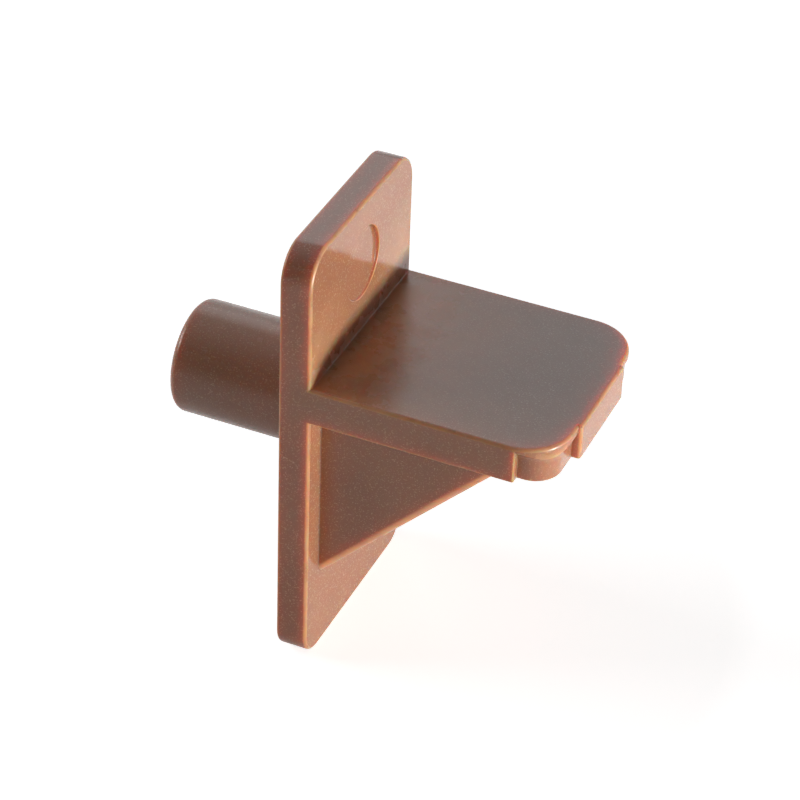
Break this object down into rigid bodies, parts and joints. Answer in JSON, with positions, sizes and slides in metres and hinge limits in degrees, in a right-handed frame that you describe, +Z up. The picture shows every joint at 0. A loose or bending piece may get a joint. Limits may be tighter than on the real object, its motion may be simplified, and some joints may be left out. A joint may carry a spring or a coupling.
{
  "type": "shelf support pin",
  "caption": "One-piece moulded shelf support: a round pin for a hole in a cabinet side, a flat bearing plate, and a ledge braced by two webs below for the shelf to rest on.",
  "frame": {"origin": "where the axis of the pin meets the back face of the plate", "axes": "+X away from the wall along the ledge, +Y across the plate, +Z up when the pin is fitted"},
  "size_m": [0.0236, 0.0126, 0.0259],
  "materials": {
    "brown_plastic": "gloss"
  },
  "bodies": {
    "root": {"shelf_support": "brown_plastic"}
  },
  "joints": []
}
